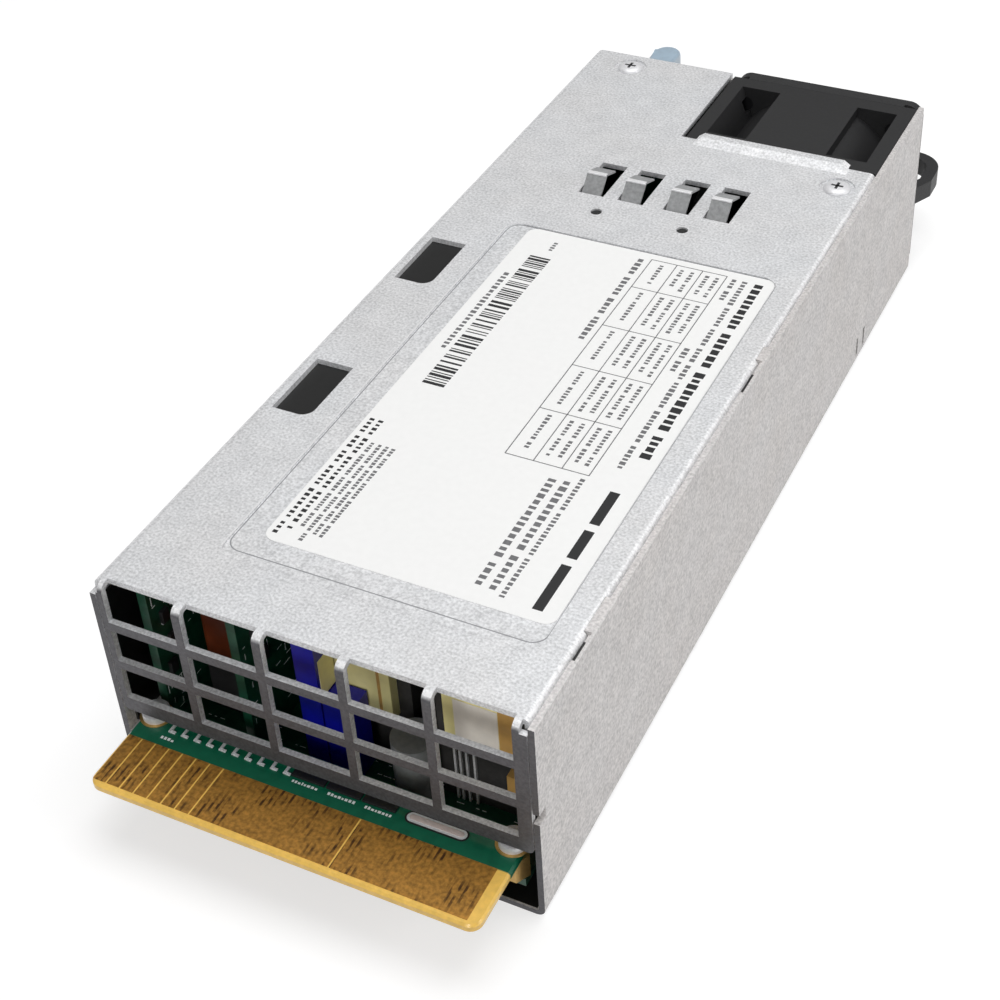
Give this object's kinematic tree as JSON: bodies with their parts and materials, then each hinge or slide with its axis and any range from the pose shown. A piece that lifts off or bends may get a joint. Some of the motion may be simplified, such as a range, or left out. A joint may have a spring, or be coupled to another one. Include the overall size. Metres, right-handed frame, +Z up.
{
  "type": "hot swap server power supply",
  "caption": "Hot-swap server power supply: folded steel case with gold card-edge output, cooling fan, mains inlet, sprung side latch and pull handle.",
  "frame": {"origin": "centre of the case's flat bottom face, midway between grille face and rear panel", "axes": "+X to the right seen from the card edge, +Y from the card edge towards the fan and inlet end, +Z up"},
  "size_m": [0.0753, 0.2236, 0.0426],
  "materials": {
    "cover_steel": "galvanised, satin",
    "base_steel": "galvanised, satin",
    "spring_steel": "rolled, smooth",
    "screw_steel": "zinc plated",
    "latch_steel": "zinc plated",
    "film_black": "smooth film",
    "label_white": "satin film",
    "fan_plastic": "moulded, matt",
    "black_screw": "black oxide",
    "magnet": "sintered",
    "copper_winding": "enamelled wire",
    "handle_plastic": "moulded, fine texture",
    "inlet_plastic": "moulded, matt",
    "blade_metal": "nickel plated",
    "board_green": "solder resist",
    "card_green": "solder resist",
    "contact_gold": "gold plated",
    "standoff_brass": "turned",
    "header_black": "moulded",
    "light_pipe": "clear",
    "grip_blue": "translucent, smooth",
    "film_brown": "dipped",
    "film_blue": "dipped",
    "ferrite": "sintered",
    "tape_yellow": "tape",
    "choke_grey": "pressed powder",
    "can_sleeve": "sleeve",
    "heatsink_aluminium": "extruded",
    "rectifier_black": "moulded",
    "fuse_ceramic": "glazed"
  },
  "bodies": {
    "case": {"ac_inlet_housing": "inlet_plastic", "base_chassis": "base_steel", "board_header": "header_black", "boost_choke_core": "ferrite", "boost_choke_winding": "copper_winding", "bridge_rectifier": "rectifier_black", "bulk_capacitors": "can_sleeve", "control_board": "board_green", "cover_screws": "screw_steel", "driver_board": "board_green", "edge_screws": "screw_steel", "edge_standoffs": "standoff_brass", "fan_bearings": "screw_steel", "fan_frame": "fan_plastic", "fan_screws": "black_screw", "fan_stator": "copper_winding", "film_capacitors": "film_blue", "filter_choke_core": "ferrite", "filter_choke_winding": "copper_winding", "grounding_springs": "spring_steel", "inlet_blades": "blade_metal", "inlet_board": "board_green", "insulating_films": "film_black", "latch_bracket": "base_steel", "latch_pivot": "screw_steel", "latch_spring": "spring_steel", "line_capacitor": "film_blue", "line_fuse": "fuse_ceramic", "main_board": "board_green", "main_screws": "screw_steel", "main_standoffs": "standoff_brass", "output_board": "card_green", "output_capacitors": "can_sleeve", "output_choke": "choke_grey", "power_contacts": "contact_gold", "pull_handle": "handle_plastic", "rating_label": "label_white", "rectifier_heatsink": "heatsink_aluminium", "signal_contacts": "contact_gold", "snubber_capacitor": "film_brown", "status_light_pipe": "light_pipe", "top_cover": "cover_steel", "transformer_cores": "ferrite", "transformer_windings": "tape_yellow"},
    "rotor": {"fan_rotor": "fan_plastic", "fan_shaft": "screw_steel", "fan_magnet": "magnet"},
    "latch": {"latch_lever": "latch_steel", "latch_grip": "grip_blue"}
  },
  "joints": [
    {"name": "fan_spin", "type": "hinge", "parent": "case", "child": "rotor", "pos_m": [0.0157, 0.08, 0.02], "axis": [0, 1, 0], "continuous": true},
    {"name": "latch_swing", "type": "hinge", "parent": "case", "child": "latch", "pos_m": [-0.03035, 0.0525, 0.0352], "axis": [0, 0, -1], "range_deg": [0, 5.5], "stiffness_Nm_per_rad": 0.12, "springref_deg": -5.73, "deforming": ["latch_spring"]}
  ]
}
